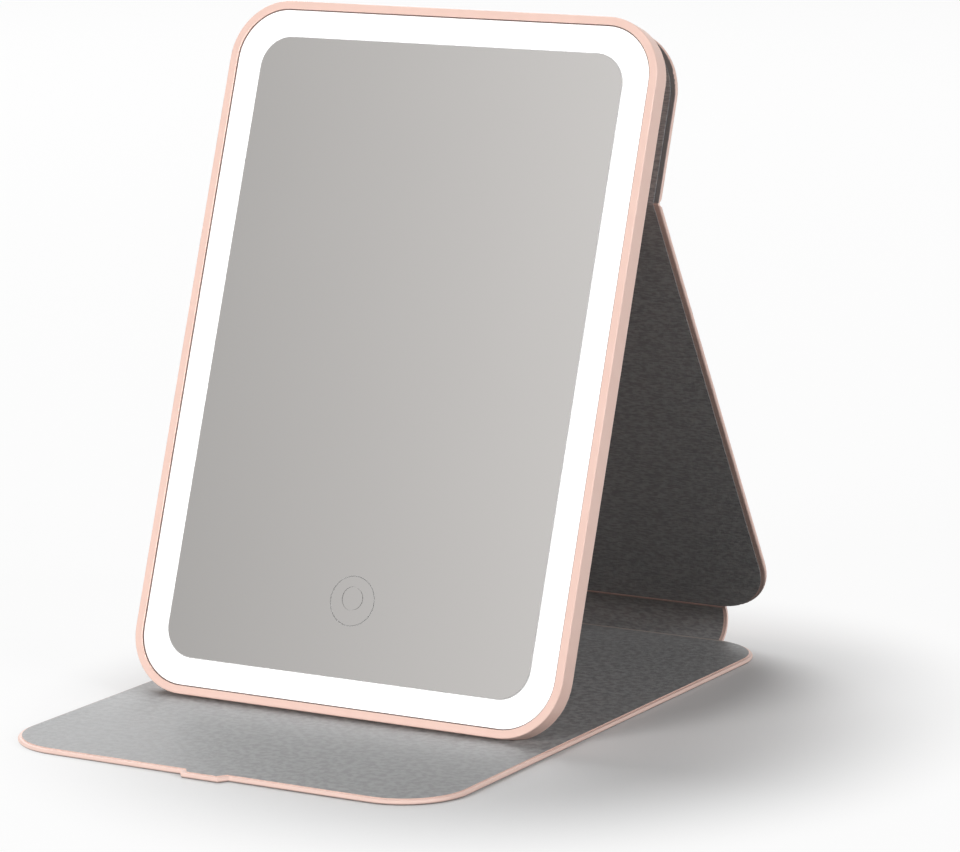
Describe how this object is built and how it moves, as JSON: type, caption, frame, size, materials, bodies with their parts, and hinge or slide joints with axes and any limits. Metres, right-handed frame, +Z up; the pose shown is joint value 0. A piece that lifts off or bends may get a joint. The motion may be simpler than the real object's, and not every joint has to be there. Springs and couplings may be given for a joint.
{
  "type": "lighted folding makeup mirror",
  "caption": "Flat makeup mirror with a lit border and a round push button in the glass, standing on a folio cover that folds into a base, a spine, a rear leg and a bonded upper panel.",
  "frame": {"origin": "centre of the base panel's underside, on the table", "axes": "+X to the mirror's right as seen from the front, +Y to the back, +Z up"},
  "size_m": [0.1656, 0.2529, 0.2311],
  "materials": {
    "leatherette": "smooth matt leatherette",
    "lining": "short-napped microfibre",
    "cover_board": "plain",
    "pink_plastic": "satin",
    "seal": "matt",
    "diffuser": "frosted, lit",
    "silvered_glass": "polished",
    "tape": "foam",
    "white_plastic": "matt",
    "strip": "flexible circuit",
    "led": "clear resin",
    "circuit": "solder resist",
    "steel": "plated",
    "magnet": "nickel plated",
    "switch": "moulded",
    "cell": "foil pouch"
  },
  "bodies": {
    "base": {"base_skin": "leatherette", "base_board": "cover_board", "base_lining": "lining", "base_magnets": "magnet"},
    "spine": {"spine_skin": "leatherette", "spine_lining": "lining"},
    "leg": {"leg_skin": "leatherette", "leg_board": "cover_board", "leg_lining": "lining"},
    "mirror": {"upper_skin": "leatherette", "upper_board": "cover_board", "upper_lining": "lining", "front_frame": "pink_plastic", "bezel_seal": "seal", "light_diffuser": "diffuser", "mirror_glass": "silvered_glass", "mirror_tape": "tape", "light_tray": "white_plastic", "led_strip": "strip", "leds": "led", "main_board": "circuit", "board_screws": "steel", "tact_switch": "switch", "battery": "cell", "battery_tape": "tape", "charge_board": "circuit", "usb_inlet": "steel", "inlet_tongue": "switch", "rear_shell": "pink_plastic", "shell_screws": "steel", "mount_pad": "tape", "tablet_magnets": "magnet"},
    "button": {"button_cap": "silvered_glass", "button_retainer": "white_plastic", "switch_plunger": "switch"}
  },
  "joints": [
    {"name": "spine_hinge", "type": "hinge", "parent": "base", "child": "spine", "pos_m": [0, 0.12275, 0.0005], "axis": [-1, 0, 0], "range_deg": [0, 26.6]},
    {"name": "leg_hinge", "type": "hinge", "parent": "spine", "child": "leg", "pos_m": [0, 0.12592, 0.01321], "axis": [-1, 0, 0], "range_deg": [0, 96.9]},
    {"name": "mirror_hinge", "type": "hinge", "parent": "leg", "child": "mirror", "pos_m": [0, 0.02879, 0.17044], "axis": [1, 0, 0], "range_deg": [0, 49.7]},
    {"name": "button_press", "type": "slide", "parent": "mirror", "child": "button", "axis": [0, 0.9477, -0.319], "range_m": [0, 0.0005], "stiffness_N_per_m": 4000}
  ],
  "couplings": [
    {"joint": "spine_hinge", "follows": "leg_hinge", "ratio": 0.2745},
    {"joint": "mirror_hinge", "follows": "leg_hinge", "ratio": 0.5128}
  ]
}
